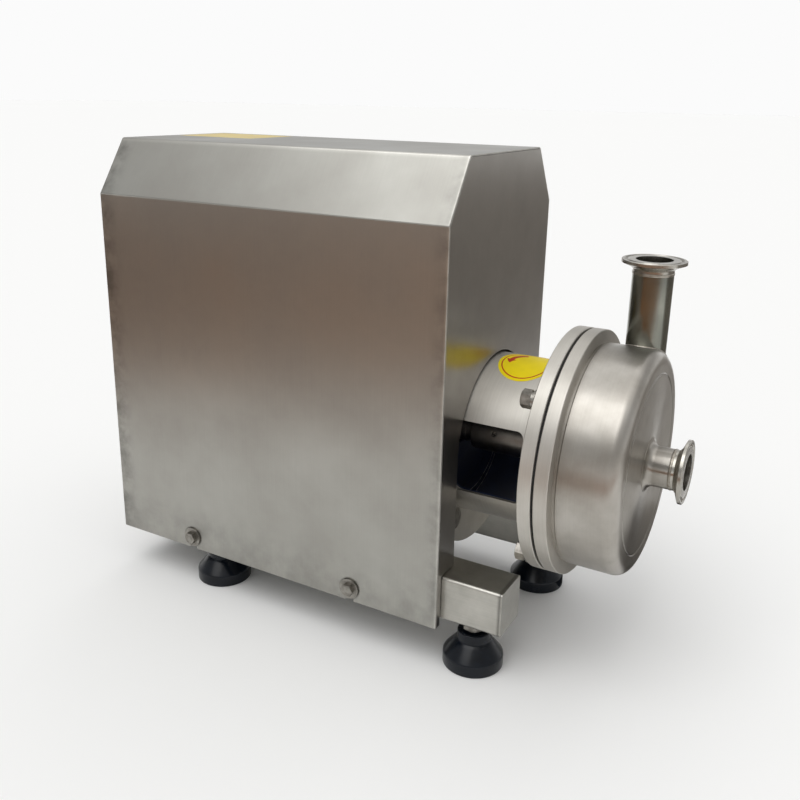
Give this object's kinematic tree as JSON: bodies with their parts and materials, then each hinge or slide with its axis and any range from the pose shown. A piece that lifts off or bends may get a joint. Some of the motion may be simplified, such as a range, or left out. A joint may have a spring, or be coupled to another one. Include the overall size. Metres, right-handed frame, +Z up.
{
  "type": "sanitary centrifugal pump",
  "caption": "Close-coupled stainless centrifugal pump with a folded sheet motor hood, windowed lantern, round casing, clamp ferrule ports and levelling feet.",
  "frame": {"origin": "middle of the bounding box on the floor plane", "axes": "+X along the shaft towards the inlet, +Y to the left seen from the motor end, +Z up"},
  "size_m": [0.504, 0.2132, 0.408],
  "materials": {
    "brushed_stainless_sheet": "fine brushed sheet",
    "satin_stainless_tube": "satin tube",
    "turned_stainless": "fine turned",
    "spun_stainless": "spun and fine polished",
    "polished_stainless": "polished",
    "stainless_fastener": "cold formed, bright",
    "moulded_black_nylon": "moulded, light sheen",
    "black_rubber": "moulded",
    "motor_enamel": "sprayed enamel on cast metal",
    "motor_cast_flange": "black enamel on cast iron",
    "lamination_steel": "stacked lamination",
    "bearing_steel": "ground",
    "ground_shaft_steel": "ground",
    "seal_ceramic": "lapped",
    "seal_carbon": "lapped carbon"
  },
  "bodies": {
    "base": {"hood_screws": "stainless_fastener", "hood_washers": "stainless_fastener", "hood_bosses": "satin_stainless_tube", "rail_left": "satin_stainless_tube", "rail_right": "satin_stainless_tube", "rail_caps": "satin_stainless_tube", "cross_tubes": "satin_stainless_tube", "foot_bushes": "satin_stainless_tube", "lock_nuts": "stainless_fastener", "motor_pads": "black_rubber", "motor_bolts": "stainless_fastener", "motor_washers": "stainless_fastener", "motor_nuts": "stainless_fastener", "motor_frame": "motor_enamel", "front_shield": "motor_cast_flange", "rear_shield": "motor_enamel", "motor_stator": "lamination_steel", "front_bearing": "bearing_steel", "rear_bearing": "bearing_steel", "fan_cowl": "motor_enamel", "terminal_box": "motor_enamel", "terminal_lid": "motor_enamel", "lid_screws": "stainless_fastener", "cable_gland": "moulded_black_nylon", "lantern": "turned_stainless", "lantern_bolts": "stainless_fastener", "lantern_nuts": "stainless_fastener", "casing_bolts": "stainless_fastener", "casing_washers": "stainless_fastener", "back_cover": "turned_stainless", "flange_gasket": "black_rubber", "cover_ring": "black_rubber", "seal_seat": "seal_ceramic", "casing_flange": "turned_stainless", "casing_shell": "spun_stainless", "inlet_pipe": "satin_stainless_tube", "inlet_ferrule": "polished_stainless", "outlet_pipe": "satin_stainless_tube", "outlet_ferrule": "polished_stainless"},
    "rotor": {"motor_shaft": "ground_shaft_steel", "rotor_core": "lamination_steel", "fan": "moulded_black_nylon", "stub_shaft": "turned_stainless", "set_screws": "seal_carbon", "seal_ring": "seal_carbon", "seal_head": "turned_stainless", "impeller": "turned_stainless", "impeller_nut": "stainless_fastener"},
    "hood": {"hood_wrap": "brushed_stainless_sheet", "hood_front": "brushed_stainless_sheet", "hood_rear": "brushed_stainless_sheet"},
    "foot_fl": {"foot_fl_pad": "moulded_black_nylon", "foot_fl_stem": "stainless_fastener"},
    "foot_fr": {"foot_fr_pad": "moulded_black_nylon", "foot_fr_stem": "stainless_fastener"},
    "foot_rl": {"foot_rl_pad": "moulded_black_nylon", "foot_rl_stem": "stainless_fastener"},
    "foot_rr": {"foot_rr_pad": "moulded_black_nylon", "foot_rr_stem": "stainless_fastener"}
  },
  "joints": [
    {"name": "shaft_spin", "type": "hinge", "parent": "base", "child": "rotor", "pos_m": [0, 0, 0.174], "axis": [1, 0, 0], "continuous": true},
    {"name": "hood_lift", "type": "slide", "parent": "base", "child": "hood", "axis": [0, 0, 1], "range_m": [0, 0.4]},
    {"name": "foot_fl_height", "type": "slide", "parent": "base", "child": "foot_fl", "axis": [0, 0, 1], "range_m": [-0.018, 0]},
    {"name": "foot_fr_height", "type": "slide", "parent": "base", "child": "foot_fr", "axis": [0, 0, 1], "range_m": [-0.018, 0]},
    {"name": "foot_rl_height", "type": "slide", "parent": "base", "child": "foot_rl", "axis": [0, 0, 1], "range_m": [-0.018, 0]},
    {"name": "foot_rr_height", "type": "slide", "parent": "base", "child": "foot_rr", "axis": [0, 0, 1], "range_m": [-0.018, 0]}
  ]
}
